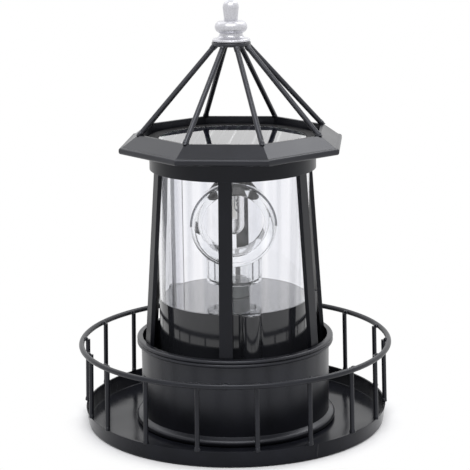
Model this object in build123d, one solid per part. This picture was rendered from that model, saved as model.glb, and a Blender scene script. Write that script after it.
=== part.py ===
from build123d import *
import math
import os

# Solar garden lantern shaped like the lamp room of a lighthouse.
# A sheet steel gallery tray with a wire railing carries a cup, six flared posts, an octagonal eave
# and a cage roof with a finial. Inside stands a plastic drum with a geared motor that turns a clear
# lens under a lamp hanging from the solar panel.
# Millimetres and degrees. +Z is up, the tray rests on Z = 0, the middle post faces -Y.

# Sheet metal and joints between pieces
SHEET = 0.8
WELD_GAP = 0.1
SEAT_GAP = 0.3
RUNNING_GAP = 0.06

# Gallery tray
TRAY_RADIUS = 78.6
TRAY_FLARE = 1.1
TRAY_HEIGHT = 8.7
TRAY_CORNER = 1.2
PAD_RISE = 3.2
PAD_STEP = 2.0
SERVICE_LEDGE = 6.6

# Railing
HOOP_OVERHANG = 2.8
HOOP_WIRE = 2.8
HOOP_LEVEL = 42.6
BALUSTER_WIRE = 2.4
BALUSTER_ANGLES = (13, 33, 53, 71, 92, 111, 134, 152, 172, 192, 212, 232, 250.5, 273, 294, 310, 331, 351.5)

# Drum that holds the works
DRUM_RADIUS = 39.6
DRUM_HEIGHT = 60.5
DRUM_WALL = 2.0
DRUM_EDGE = 0.6
DECK_THICKNESS = 2.4
BASE_THICKNESS = 2.5
BASE_SPIGOT = 2.0
BOSS_RADIUS = 5.0
BOSS_FILLET = 2.5
BOSS_ANGLES = (17.4, 106.5, 240.5)

# Cup round the drum
CUP_GAP = 4.2
CUP_HEIGHT = 45.5
CUP_RIM_OUT = 2.2
CUP_RIM_ROLL = 2.0
CUP_FOOT_OUT = 3.2
CUP_FOOT_HEIGHT = 3.6
CUP_FOOT_COVE = 0.9

# Posts and clear tube
POST_ANGLES = (0, 63, 111.5, 179, 253, 297)
POST_WIDTH = 6.8
POST_THICKNESS = 2.2
POST_LAP = 4.0
POST_FOOT = 12.0
TUBE_WALL = 1.4

# Eave and collar
EAVE_SIDES = 8
EAVE_LEVEL = 145.8
COLLAR_DEPTH = 10.3
EAVE_BEAD_HEIGHT = 3.4
EAVE_BEAD_ROUND = 1.3
EAVE_BEAD_OUT = 1.2
EAVE_BEAD_WIDTH = 2.4
EAVE_BAND_RISE = 6.2
EAVE_BAND_RUN = 8.2
EAVE_RIM_WIDTH = 1.6
EAVE_BAND_THICKNESS = 1.0
FLANGE_LAP = 0.8
FLANGE_GAP = 0.8

# Solar panel and its dish
DISH_FLANGE = 4.7
DISH_SKIRT = 1.5
DISH_SKIRT_DEPTH = 6.6
DISH_WEB = 3.0
PANEL_MARGIN = 1.9
PANEL_BOARD = 0.6
CELL_THICKNESS = 0.3
CELL_COUNT = 6
CELL_GAP = 1.0
CELL_MARGIN = 2.0
COVER_THICKNESS = 1.1

# Cage roof and finial
ROD_WIRE = 2.7
ROD_HEAD_RADIUS = 9.0
HUB_LEVEL = 198.3
HUB_RADIUS = 10.0
HUB_THICKNESS = 2.0
FINIAL_FLANGE_RADIUS = 9.7
FINIAL_FLANGE_HEIGHT = 1.7
FINIAL_WAIST_RADIUS = 5.8
FINIAL_WAIST_HEIGHT = 2.8
FINIAL_RING_RADIUS = 8.3
FINIAL_RING_HEIGHT = 6.1
FINIAL_NECK_RADIUS = 3.4
FINIAL_KNOB_RADIUS = 4.1
FINIAL_KNOB_HEIGHT = 10.4
FINIAL_CROWN_HEIGHT = 3.6
FINIAL_TIP_RADIUS = 0.9
STUD_RADIUS = 2.0
STUD_FLOOR = 0.6

# Lamp hanging from the dish
HOLDER_NECK_RADIUS = 8.0
HOLDER_NECK_LENGTH = 15.4
HOLDER_FLANGE_RADIUS = 13.0
HOLDER_FLANGE = 1.5
HOLDER_CONE_RADIUS = 13.2
HOLDER_CONE_HEIGHT = 6.5
HOLDER_CONE_WALL = 1.2
CAPSULE_RADIUS = 5.6
CAPSULE_WALL = 0.8
CAPSULE_LENGTH = 29.5
CAPSULE_GAP = 0.15
STEM_WIDTH = 4.0
STEM_THICKNESS = 1.0
STEM_LENGTH = 21.4
DIE_WIDTH = 2.6
DIE_THICKNESS = 0.7
DIE_LENGTH = 9.0

# Turning lens
LENS_TURN = 5.5
LENS_ABOVE_TIP = 8.7
TURNTABLE_RADIUS = 8.2
TURNTABLE_HEIGHT = 7.7
COLUMN_RADIUS = 14.5
COLUMN_BORE = 9.1
COLUMN_FLOOR = 1.0
PEG_RADIUS = 3.0
PEG_LENGTH = 4.0
BARREL_RADIUS = 21.8
BARREL_REAR_RADIUS = 20.4
BARREL_MOUTH = 19.6
BARREL_BORE = 16.0
BARREL_DISH = 1.2
BARREL_EDGE = 1.4
BARREL_RIM = 6.0
BARREL_LENGTH = 20.0
BARREL_SWING_GAP = 1.2
GLUE_GAP = 0.05

# Gear train
GEAR_TEETH = 48
PINION_TEETH = 16
PRESSURE_ANGLE = 20.0
ADDENDUM = 0.85
DEDENDUM = 1.15
BACKLASH = 0.14
GEAR_WIDTH = 4.0
PINION_EXTRA = 0.5
GEAR_TOP_GAP = 3.0
GEAR_FLOOR_GAP = 3.6
SPINDLE_RADIUS = 3.9
GEAR_SEAT_RADIUS = 3.0
PIVOT_RADIUS = 2.0
BUSH_RADIUS = 6.5
BUSH_LENGTH = 2.0
DRIVE_PLATE = 2.0
DRIVE_PLATE_GAP = 3.1
PILLAR_RADIUS = 2.8
PILLAR_INSET = 3.6
PILLAR_ANGLES = (60, 180, 300)

# Motor
MOTOR_RADIUS = 9.5
MOTOR_LENGTH = 24.0
MOTOR_WALL_GAP = 2.5
MOTOR_NOSE_RADIUS = 3.0
MOTOR_SHAFT_RADIUS = 1.0
MOTOR_SHAFT_GRIP = 6.0
MOTOR_SCREW_PITCH = 7.0

# Battery
CELL_RADIUS = 7.1
CELL_LENGTH = 49.0
CELL_PIP_RADIUS = 2.6
CELL_PIP_LENGTH = 1.2
HOLDER_WALL = 1.2
HOLDER_HEIGHT = 11.0
CONTACT_THICKNESS = 0.5
CONTACT_WIDTH = 9.0
HOLDER_CORNER_GAP = 1.4

# Circuit board and switch
BOARD_LENGTH = 40.0
BOARD_WIDTH = 12.0
BOARD_CORNER_GAP = 3.3
BOARD_THICKNESS = 1.6
BOARD_LIFT = 5.0
STANDOFF_RADIUS = 2.0
SWITCH_LENGTH = 9.0
SWITCH_WIDTH = 4.5
SWITCH_HEIGHT = 4.2
SWITCH_PLACE = 8.0
SLIDER_LENGTH = 2.0
SLIDER_WIDTH = 2.0
SLIDER_REACH = 1.2
SLIDER_TRAVEL = 2.5
SLIDER_GAP = 0.3

# Screws
SCREW_RADIUS = 1.2
SCREW_HEAD_RADIUS = 2.4
SCREW_HEAD_HEIGHT = 1.4
SCREW_BITE = 9.0
SMALL_SCREW_RADIUS = 0.9
SMALL_HEAD_RADIUS = 1.8
SMALL_HEAD_HEIGHT = 1.1
SMALL_BITE = 2.2
SCREW_GAP = 0.1

# Levels worked out from the sizes above
PAD_TOP = PAD_RISE + SHEET
BASE_TOP = PAD_TOP + BASE_THICKNESS
DECK_TOP = BASE_TOP + DRUM_HEIGHT
DECK_UNDER = DECK_TOP - DECK_THICKNESS
GEAR_TOP = DECK_UNDER - GEAR_TOP_GAP
GEAR_BOTTOM = GEAR_TOP - GEAR_WIDTH
PLATE_TOP = GEAR_BOTTOM - GEAR_FLOOR_GAP
PLATE_UNDER = PLATE_TOP - DRIVE_PLATE
CUP_TOP = SHEET + CUP_HEIGHT
SHELF_TOP = EAVE_LEVEL + SHEET
COLLAR_BOTTOM = EAVE_LEVEL - COLLAR_DEPTH
EAVE_TOP = EAVE_LEVEL + EAVE_BEAD_HEIGHT + EAVE_BAND_RISE - SHEET / 2
SKIRT_BOTTOM = SHELF_TOP - DISH_SKIRT_DEPTH
FLANGE_TOP = SHELF_TOP + DISH_FLANGE
PANEL_FLOOR = FLANGE_TOP - PANEL_BOARD - CELL_THICKNESS - COVER_THICKNESS - WELD_GAP
DISH_UNDER = PANEL_FLOOR - DISH_WEB
HOLDER_SEAT = DISH_UNDER - HOLDER_FLANGE - HOLDER_NECK_LENGTH
CAPSULE_BOTTOM = HOLDER_SEAT - CAPSULE_LENGTH
SWING_LEVEL = HOLDER_SEAT - HOLDER_CONE_HEIGHT - BARREL_SWING_GAP
TURNTABLE_TOP = DECK_TOP + SEAT_GAP + TURNTABLE_HEIGHT
LENS_LEVEL = CAPSULE_BOTTOM + LENS_ABOVE_TIP
BOARD_UNDER = BASE_TOP + BOARD_LIFT

# Radii worked out from the sizes above
HOOP_RADIUS = TRAY_RADIUS + TRAY_FLARE + HOOP_OVERHANG
TUBE_RADIUS = DRUM_RADIUS
TUBE_BORE = TUBE_RADIUS - TUBE_WALL
DRUM_BORE = DRUM_RADIUS - DRUM_WALL
SPIGOT_RADIUS = DRUM_BORE - SEAT_GAP
SPIGOT_BORE = SPIGOT_RADIUS - DRUM_WALL
SERVICE_HOLE_RADIUS = DRUM_RADIUS - SERVICE_LEDGE
CUP_BORE = DRUM_RADIUS + BOSS_RADIUS + CUP_GAP
CUP_RADIUS = CUP_BORE + SHEET
PAD_RADIUS = CUP_BORE - SEAT_GAP - PAD_STEP
POST_HEAD = TUBE_RADIUS + SEAT_GAP + POST_THICKNESS
COLLAR_BORE = math.hypot(POST_HEAD, POST_WIDTH / 2) + WELD_GAP
COLLAR_RADIUS = COLLAR_BORE + SHEET
POST_SOLE = math.sqrt((CUP_BORE - WELD_GAP) ** 2 - (POST_WIDTH / 2) ** 2)
SKIRT_BORE = TUBE_RADIUS + SEAT_GAP
SKIRT_RADIUS = SKIRT_BORE + DISH_SKIRT
PANEL_RADIUS = SKIRT_BORE - PANEL_MARGIN
FLANGE_RADIUS = COLLAR_RADIUS + FLANGE_LAP
CORNER_RATIO = 1 / math.cos(math.pi / EAVE_SIDES)
EAVE_BORE = FLANGE_RADIUS + FLANGE_GAP
SWING_RADIUS = HOLDER_CONE_RADIUS + BARREL_SWING_GAP
BARREL_FRONT = SWING_RADIUS + BARREL_RIM
BARREL_REAR = BARREL_FRONT - BARREL_LENGTH
GEAR_CENTRES = DRUM_BORE - MOTOR_RADIUS - MOTOR_WALL_GAP
GEAR_MODULE = 2 * GEAR_CENTRES / (GEAR_TEETH + PINION_TEETH)
DRIVE_PLATE_RADIUS = DRUM_BORE - DRIVE_PLATE_GAP
PILLAR_CIRCLE = DRIVE_PLATE_RADIUS - PILLAR_INSET

# Places of the battery and the circuit board inside the spigot of the drum's base
HOLDER_LENGTH = CELL_LENGTH + CELL_PIP_LENGTH + 2 * CONTACT_THICKNESS + 2 * WELD_GAP
HOLDER_HALF_LENGTH = HOLDER_LENGTH / 2 + HOLDER_WALL
HOLDER_HALF_WIDTH = CELL_RADIUS + SEAT_GAP + HOLDER_WALL
HOLDER_OUTER_SIDE = math.sqrt((SPIGOT_BORE - HOLDER_CORNER_GAP) ** 2 - HOLDER_HALF_LENGTH**2)
BATTERY_OFFSET = HOLDER_OUTER_SIDE - HOLDER_HALF_WIDTH
BATTERY_LEVEL = BASE_TOP + HOLDER_WALL + WELD_GAP + CELL_RADIUS
BOARD_FAR_SIDE = math.sqrt((SPIGOT_BORE - BOARD_CORNER_GAP) ** 2 - (BOARD_LENGTH / 2) ** 2)
BOARD_OFFSET = BOARD_FAR_SIDE - BOARD_WIDTH / 2


def turned(outline):
    """Solid of revolution about Z from a closed outline drawn in radius and height."""
    return revolve(Plane.XZ * make_face(outline), Axis.Z)


def ring(outer, inner, bottom, top):
    """Plain ring, or a disc where the inner radius is nought, between two levels."""
    sketch = Circle(outer)
    if inner > 0:
        sketch -= Circle(inner)
    return extrude(Pos(0, 0, bottom) * sketch, top - bottom)


def round_rod(start, end, diameter):
    """Straight round rod between two points."""
    start = Vector(*start)
    end = Vector(*end)
    direction = end - start
    return extrude(Plane(start, z_dir=direction) * Circle(diameter / 2), direction.length)


def around(shape, angles):
    """Copies of a shape turned about Z, where angle nought faces -Y and grows towards +X."""
    return Compound(children=[Rot(0, 0, angle) * shape for angle in angles])


def spaced(count, start=0.0):
    """Even angles round a full turn."""
    return [start + 360 * index / count for index in range(count)]


def at_front(radius, level=0.0):
    """Place on the -Y side at a radius and a level."""
    return Pos(0, -radius, level)


def octagon(apothem, level):
    """Eave outline with flats that face the axes, from the distance of its flats."""
    turn = 180 / EAVE_SIDES
    return Pos(0, 0, level) * RegularPolygon(apothem * CORNER_RATIO, EAVE_SIDES, rotation=turn)


def pan_screw(shank, length, head, head_height):
    """Screw with its head above Z = 0 and its shank below."""
    return ring(head, 0, 0, head_height) + ring(shank, 0, -length, 0)


# Gallery tray, cup and railing

def tray():
    wall_top = TRAY_RADIUS + TRAY_FLARE
    flat = TRAY_RADIUS - TRAY_CORNER
    slope_foot = PAD_RADIUS + PAD_STEP
    outline = Polyline(
        (TRAY_RADIUS - SHEET, TRAY_CORNER),
        (wall_top - SHEET, TRAY_HEIGHT),
        (wall_top, TRAY_HEIGHT),
        (TRAY_RADIUS, TRAY_CORNER),
    )
    outline += CenterArc((flat, TRAY_CORNER), TRAY_CORNER, 0, -90)
    outline += Polyline(
        (flat, 0),
        (slope_foot, 0),
        (PAD_RADIUS, PAD_RISE),
        (SERVICE_HOLE_RADIUS, PAD_RISE),
        (SERVICE_HOLE_RADIUS, PAD_TOP),
        (PAD_RADIUS, PAD_TOP),
        (slope_foot, SHEET),
        (flat, SHEET),
    )
    outline += CenterArc((flat, TRAY_CORNER), TRAY_CORNER - SHEET, -90, 90)
    hole = at_front(boss_circle(), PAD_RISE) * Cylinder(SCREW_RADIUS + SCREW_GAP, 4 * SHEET)
    return turned(outline) - around(hole, BOSS_ANGLES)


def cup():
    foot_top = SHEET + CUP_FOOT_HEIGHT
    foot_root = CUP_RADIUS + CUP_FOOT_OUT - CUP_FOOT_HEIGHT / 3
    roll_low = CUP_TOP - 2 * CUP_RIM_ROLL
    roll_mid = CUP_TOP - CUP_RIM_ROLL
    rim = CUP_RADIUS + CUP_RIM_OUT
    groove = rim - CUP_RIM_ROLL / 2
    outline = Polyline((groove, CUP_TOP), (CUP_BORE, CUP_TOP), (CUP_BORE, SHEET), (foot_root, SHEET))
    outline += ThreePointArc(
        (foot_root, SHEET),
        (CUP_RADIUS + CUP_FOOT_OUT, (SHEET + foot_top) / 2),
        (foot_root, foot_top),
    )
    outline += Polyline(
        (foot_root, foot_top),
        (CUP_RADIUS, foot_top + CUP_FOOT_COVE),
        (CUP_RADIUS, roll_low),
        (groove, roll_low),
    )
    outline += ThreePointArc((groove, roll_low), (rim, (roll_low + roll_mid) / 2), (groove, roll_mid))
    outline += ThreePointArc((groove, roll_mid), (rim, (roll_mid + CUP_TOP) / 2), (groove, CUP_TOP))
    return turned(outline)


def railing_hoop():
    return Pos(0, 0, HOOP_LEVEL) * Torus(HOOP_RADIUS - HOOP_WIRE / 2, HOOP_WIRE / 2)


def railing_balusters():
    rim = TRAY_RADIUS + TRAY_FLARE - SHEET / 2
    head = HOOP_RADIUS - HOOP_WIRE - BALUSTER_WIRE / 2 - WELD_GAP
    lean = (head - rim) / (HOOP_LEVEL - TRAY_HEIGHT)
    below = (0, -(rim - lean * BALUSTER_WIRE), TRAY_HEIGHT - BALUSTER_WIRE)
    wire = round_rod(below, (0, -head, HOOP_LEVEL), BALUSTER_WIRE)
    wire = split(wire, Plane.XY.offset(TRAY_HEIGHT + WELD_GAP), keep=Keep.TOP)
    return around(wire, BALUSTER_ANGLES)


# Posts, collar and eave

def lantern_posts():
    head_top = COLLAR_BOTTOM + POST_LAP
    knee = CUP_TOP + SHEET
    foot = CUP_TOP - POST_FOOT
    head_inner = POST_HEAD - POST_THICKNESS
    sole_inner = POST_SOLE - POST_THICKNESS
    outline = Polyline(
        (POST_HEAD, head_top),
        (POST_HEAD, COLLAR_BOTTOM - SHEET),
        (POST_SOLE, knee),
        (POST_SOLE, foot),
        (sole_inner, foot),
        (sole_inner, knee),
        (head_inner, COLLAR_BOTTOM - SHEET),
        (head_inner, head_top),
        close=True,
    )
    bar = extrude(Plane.XZ * make_face(outline), POST_WIDTH / 2, both=True)
    return around(Rot(0, 0, -90) * bar, POST_ANGLES)


def collar():
    return ring(COLLAR_RADIUS, COLLAR_BORE, COLLAR_BOTTOM, EAVE_LEVEL)


def eave():
    rim_out = EAVE_BORE + EAVE_RIM_WIDTH
    band_foot = rim_out + EAVE_BAND_RUN
    bead_top = EAVE_LEVEL + EAVE_BEAD_HEIGHT
    band = loft([octagon(band_foot, bead_top - SHEET / 2), octagon(rim_out, EAVE_TOP)], ruled=True)
    band -= Pos(0, 0, -EAVE_BAND_THICKNESS) * band
    wall_height = EAVE_TOP - SHELF_TOP
    wall = extrude(octagon(EAVE_BORE + SHEET, SHELF_TOP), wall_height)
    well = extrude(octagon(EAVE_BORE, SHELF_TOP), wall_height)
    bead_out = band_foot + EAVE_BEAD_OUT
    bead = extrude(octagon(bead_out, EAVE_LEVEL), EAVE_BEAD_HEIGHT)
    outer_edges = bead.faces().sort_by(Axis.Z)[0].edges() + bead.faces().sort_by(Axis.Z)[-1].edges()
    bead = fillet(outer_edges, EAVE_BEAD_ROUND)
    bead -= extrude(octagon(bead_out - EAVE_BEAD_WIDTH, EAVE_LEVEL), EAVE_BEAD_HEIGHT)
    return band + wall + bead - well


def eave_shelf():
    plate = octagon(EAVE_BORE + SHEET, EAVE_LEVEL) - Pos(0, 0, EAVE_LEVEL) * Circle(SKIRT_RADIUS + SEAT_GAP)
    return extrude(plate, SHEET)


# Cage roof and finial

def roof_rods():
    foot_radius = (EAVE_BORE + EAVE_RIM_WIDTH / 2) * CORNER_RATIO
    lean = (foot_radius - ROD_HEAD_RADIUS) / (HUB_LEVEL - EAVE_TOP)
    spare = ROD_WIRE
    foot = (0, -(foot_radius + lean * spare), EAVE_TOP - spare)
    head = (0, -(ROD_HEAD_RADIUS - lean * spare), HUB_LEVEL + spare)
    rod = round_rod(foot, head, ROD_WIRE)
    rod = split(rod, Plane.XY.offset(EAVE_TOP), keep=Keep.TOP)
    rod = split(rod, Plane.XY.offset(HUB_LEVEL), keep=Keep.BOTTOM)
    return around(rod, spaced(EAVE_SIDES, 180 / EAVE_SIDES))


def roof_hub():
    disc = ring(HUB_RADIUS, 0, HUB_LEVEL, HUB_LEVEL + HUB_THICKNESS)
    disc = fillet(disc.edges().filter_by(GeomType.CIRCLE), HUB_THICKNESS / 4)
    return disc - ring(STUD_RADIUS + SCREW_GAP, 0, HUB_LEVEL + STUD_FLOOR, HUB_LEVEL + HUB_THICKNESS)


def finial():
    base = HUB_LEVEL + HUB_THICKNESS
    flange_top = base + FINIAL_FLANGE_HEIGHT
    flange_edge = FINIAL_FLANGE_RADIUS - FINIAL_FLANGE_HEIGHT / 2
    ring_bottom = flange_top + FINIAL_WAIST_HEIGHT
    ring_top = ring_bottom + FINIAL_RING_HEIGHT
    knob_top = ring_top + FINIAL_KNOB_HEIGHT
    knob_widest = knob_top - FINIAL_CROWN_HEIGHT
    outline = Polyline(
        (0, knob_top),
        (0, HUB_LEVEL + STUD_FLOOR + SCREW_GAP),
        (STUD_RADIUS, HUB_LEVEL + STUD_FLOOR + SCREW_GAP),
        (STUD_RADIUS, base),
        (flange_edge, base),
    )
    outline += ThreePointArc(
        (flange_edge, base), (FINIAL_FLANGE_RADIUS, (base + flange_top) / 2), (flange_edge, flange_top)
    )
    outline += EllipticalCenterArc(
        (flange_edge, ring_bottom), flange_edge - FINIAL_WAIST_RADIUS, FINIAL_WAIST_HEIGHT, 180, arc_size=90
    )
    outline += ThreePointArc(
        (FINIAL_WAIST_RADIUS, ring_bottom),
        (FINIAL_RING_RADIUS, (ring_bottom + ring_top) / 2),
        (FINIAL_WAIST_RADIUS, ring_top),
    )
    outline += Polyline(
        (FINIAL_WAIST_RADIUS, ring_top), (FINIAL_NECK_RADIUS, ring_top), (FINIAL_KNOB_RADIUS, knob_widest)
    )
    crown_run = FINIAL_KNOB_RADIUS - FINIAL_TIP_RADIUS
    crown_centre = (FINIAL_TIP_RADIUS, knob_widest)
    outline += EllipticalCenterArc(crown_centre, crown_run, FINIAL_CROWN_HEIGHT, arc_size=90)
    outline += Line((FINIAL_TIP_RADIUS, knob_top), (0, knob_top))
    return turned(outline)


# Solar panel

def panel_dish():
    outline = Polyline(
        (0, DISH_UNDER),
        (SKIRT_BORE, DISH_UNDER),
        (SKIRT_BORE, SKIRT_BOTTOM),
        (SKIRT_RADIUS, SKIRT_BOTTOM),
        (SKIRT_RADIUS, SHELF_TOP),
        (FLANGE_RADIUS, SHELF_TOP),
        (FLANGE_RADIUS, FLANGE_TOP),
        (PANEL_RADIUS + SEAT_GAP, FLANGE_TOP),
        (PANEL_RADIUS + SEAT_GAP, PANEL_FLOOR),
        (0, PANEL_FLOOR),
        close=True,
    )
    pilot = Cylinder(SMALL_SCREW_RADIUS + WELD_GAP, 2 * (SMALL_BITE + SEAT_GAP))
    return turned(outline) - around(at_front(holder_screw_circle(), DISH_UNDER) * pilot, (90, 270))


def panel_board():
    return ring(PANEL_RADIUS, 0, PANEL_FLOOR, PANEL_FLOOR + PANEL_BOARD)


def solar_cells():
    field = PANEL_RADIUS - CELL_MARGIN
    pitch = 2 * field / CELL_COUNT
    disc = ring(field, 0, PANEL_FLOOR + PANEL_BOARD, PANEL_FLOOR + PANEL_BOARD + CELL_THICKNESS)
    strips = []
    for index in range(CELL_COUNT):
        across = -field + pitch * (index + 0.5)
        bar = Pos(across, 0, PANEL_FLOOR) * Box(pitch - CELL_GAP, 2 * field, 2 * DISH_WEB)
        strips.append(disc & bar)
    return Compound(children=strips)


def panel_cover():
    bottom = PANEL_FLOOR + PANEL_BOARD + CELL_THICKNESS
    return ring(PANEL_RADIUS, 0, bottom, bottom + COVER_THICKNESS)


def glazing_tube():
    return ring(TUBE_RADIUS, TUBE_BORE, DECK_TOP, DISH_UNDER - WELD_GAP)


# Lamp

def holder_screw_circle():
    return (HOLDER_NECK_RADIUS + HOLDER_FLANGE_RADIUS) / 2


def lamp_holder():
    neck_bottom = HOLDER_SEAT
    cone_bottom = neck_bottom - HOLDER_CONE_HEIGHT
    flange_under = DISH_UNDER - HOLDER_FLANGE
    bore = CAPSULE_RADIUS + CAPSULE_GAP
    outline = Polyline(
        (0, DISH_UNDER),
        (0, HOLDER_SEAT),
        (bore, HOLDER_SEAT),
        (bore, neck_bottom - HOLDER_CONE_WALL),
        (HOLDER_CONE_RADIUS - HOLDER_CONE_WALL, cone_bottom),
        (HOLDER_CONE_RADIUS, cone_bottom),
        (HOLDER_NECK_RADIUS, neck_bottom),
        (HOLDER_NECK_RADIUS, flange_under),
        (HOLDER_FLANGE_RADIUS, flange_under),
        (HOLDER_FLANGE_RADIUS, DISH_UNDER),
        close=True,
    )
    hole = Cylinder(SMALL_SCREW_RADIUS + SCREW_GAP, 3 * HOLDER_FLANGE)
    return turned(outline) - around(at_front(holder_screw_circle(), DISH_UNDER) * hole, (90, 270))


def holder_screws():
    screw = Rot(180, 0, 0) * pan_screw(
        SMALL_SCREW_RADIUS, HOLDER_FLANGE + SMALL_BITE, SMALL_HEAD_RADIUS, SMALL_HEAD_HEIGHT
    )
    placed = at_front(holder_screw_circle(), DISH_UNDER - HOLDER_FLANGE) * screw
    return around(placed, (90, 270))


def led_capsule():
    outer = CAPSULE_RADIUS
    inner = CAPSULE_RADIUS - CAPSULE_WALL
    centre = CAPSULE_BOTTOM + CAPSULE_RADIUS
    outline = Polyline((inner, centre), (inner, HOLDER_SEAT), (outer, HOLDER_SEAT), (outer, centre))
    outline += CenterArc((0, centre), outer, 0, -90)
    outline += Line((0, CAPSULE_BOTTOM), (0, CAPSULE_BOTTOM + CAPSULE_WALL))
    outline += CenterArc((0, centre), inner, -90, 90)
    return turned(outline)


def led_stem():
    middle = HOLDER_SEAT - STEM_LENGTH / 2
    return Pos(0, 0, middle) * Box(STEM_WIDTH, STEM_THICKNESS, STEM_LENGTH)


def led_die():
    middle = HOLDER_SEAT - STEM_LENGTH + DIE_LENGTH / 2 + DIE_WIDTH / 2
    chip = Box(DIE_WIDTH, DIE_THICKNESS, DIE_LENGTH)
    return Pos(0, -(STEM_THICKNESS + DIE_THICKNESS) / 2, middle) * chip


# Drum

def boss_circle():
    return DRUM_RADIUS + BOSS_RADIUS - SCREW_HEAD_RADIUS - DRUM_WALL / 2


def drum_outline(level):
    """Round plan with three half round screw bosses blended into the wall."""
    plan = Circle(DRUM_RADIUS)
    centres = []
    for angle in BOSS_ANGLES:
        place = Rot(0, 0, angle) * at_front(DRUM_RADIUS)
        centres.append(place.position)
        plan += place * Circle(BOSS_RADIUS)
    notches = plan.vertices().filter_by(
        lambda vertex: min((Vector(*vertex) - centre).length for centre in centres) < 1.01 * BOSS_RADIUS
    )
    return Pos(0, 0, level) * fillet(notches, BOSS_FILLET)


def drum_shell():
    body = extrude(drum_outline(BASE_TOP), DRUM_HEIGHT)
    body = fillet(body.faces().sort_by(Axis.Z)[-1].edges(), DRUM_EDGE)
    body -= ring(DRUM_BORE, 0, BASE_TOP, DECK_UNDER)
    body += ring(BUSH_RADIUS, 0, DECK_UNDER - BUSH_LENGTH, DECK_UNDER)
    pillar = at_front(PILLAR_CIRCLE) * ring(PILLAR_RADIUS, 0, PLATE_TOP, DECK_UNDER)
    body += around(pillar, PILLAR_ANGLES)
    spindle_hole = ring(SPINDLE_RADIUS + RUNNING_GAP, 0, PLATE_TOP, DECK_TOP)
    pilot = ring(SMALL_SCREW_RADIUS + WELD_GAP, 0, PLATE_TOP, PLATE_TOP + 2 * SMALL_BITE)
    boss_hole = ring(SCREW_RADIUS + WELD_GAP, 0, BASE_TOP, BASE_TOP + SCREW_BITE + SEAT_GAP)
    body -= spindle_hole
    body -= around(at_front(PILLAR_CIRCLE) * pilot, PILLAR_ANGLES)
    return body - around(at_front(boss_circle()) * boss_hole, BOSS_ANGLES)


def drum_base():
    plate = extrude(drum_outline(PAD_TOP), BASE_THICKNESS)
    plate += ring(SPIGOT_RADIUS, SPIGOT_BORE, BASE_TOP, BASE_TOP + BASE_SPIGOT)
    for side in (-1, 1):
        for edge in (-1, 1):
            x = side * (BOARD_LENGTH / 2 - STANDOFF_RADIUS)
            y = BOARD_OFFSET + edge * (BOARD_WIDTH / 2 - STANDOFF_RADIUS)
            plate += Pos(x, y, 0) * ring(STANDOFF_RADIUS, 0, BASE_TOP, BOARD_UNDER)
    hole = at_front(boss_circle(), PAD_TOP) * Cylinder(SCREW_RADIUS + SCREW_GAP, 3 * BASE_THICKNESS)
    slot = Box(
        SLIDER_LENGTH + SLIDER_TRAVEL + 2 * SLIDER_GAP, SLIDER_WIDTH + 2 * SLIDER_GAP, 3 * BASE_THICKNESS
    )
    return plate - around(hole, BOSS_ANGLES) - Pos(SWITCH_PLACE, BOARD_OFFSET, PAD_TOP) * slot


def drum_screws():
    length = SHEET + BASE_THICKNESS + SCREW_BITE
    screw = Rot(180, 0, 0) * pan_screw(SCREW_RADIUS, length, SCREW_HEAD_RADIUS, SCREW_HEAD_HEIGHT)
    return around(at_front(boss_circle(), PAD_RISE) * screw, BOSS_ANGLES)


# Gear train and motor

def tooth_point(radius, angle):
    return (radius * math.cos(angle), radius * math.sin(angle))


def spur_gear(teeth, bore, turn):
    """Involute spur gear face, each flank drawn as an arc through three points of its involute."""
    pitch = GEAR_MODULE * teeth / 2
    tip = pitch + ADDENDUM * GEAR_MODULE
    root = pitch - DEDENDUM * GEAR_MODULE
    pressure = math.radians(PRESSURE_ANGLE)
    base = pitch * math.cos(pressure)
    start = max(base, root)
    half_tooth = math.pi / (2 * teeth) - BACKLASH / (2 * pitch)

    def flank(radius):
        local = math.acos(min(1.0, base / radius))
        return half_tooth + math.tan(pressure) - pressure - math.tan(local) + local

    middle = (start + tip) / 2
    step = 2 * math.pi / teeth
    edges = []
    for index in range(teeth):
        centre = math.radians(turn) + index * step
        rise = [tooth_point(r, centre - flank(r)) for r in (start, middle, tip)]
        fall = [tooth_point(r, centre + flank(r)) for r in (tip, middle, start)]
        root_in = tooth_point(root, centre - flank(start))
        root_out = tooth_point(root, centre + flank(start))
        root_next = tooth_point(root, centre + step - flank(start))
        edges.append(ThreePointArc(*rise))
        edges.append(ThreePointArc(rise[2], tooth_point(tip, centre), fall[0]))
        edges.append(ThreePointArc(*fall))
        edges.append(ThreePointArc(root_out, tooth_point(root, centre + step / 2), root_next))
        if start > root:
            edges.append(Line(root_in, rise[0]))
            edges.append(Line(fall[2], root_out))
    return make_face(edges) - Circle(bore)


def drive_gear():
    plan = spur_gear(GEAR_TEETH, GEAR_SEAT_RADIUS + RUNNING_GAP, 0)
    return extrude(Pos(0, 0, GEAR_BOTTOM) * plan, GEAR_WIDTH)


def motor_pinion():
    plan = spur_gear(PINION_TEETH, MOTOR_SHAFT_RADIUS + RUNNING_GAP, 180 / PINION_TEETH)
    level = GEAR_BOTTOM - PINION_EXTRA
    return extrude(Pos(GEAR_CENTRES, 0, level) * plan, GEAR_WIDTH + 2 * PINION_EXTRA)


def motor_shaft():
    top = GEAR_TOP + PINION_EXTRA
    return Pos(GEAR_CENTRES, 0, 0) * ring(MOTOR_SHAFT_RADIUS, 0, PLATE_UNDER - MOTOR_SHAFT_GRIP, top)


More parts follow.
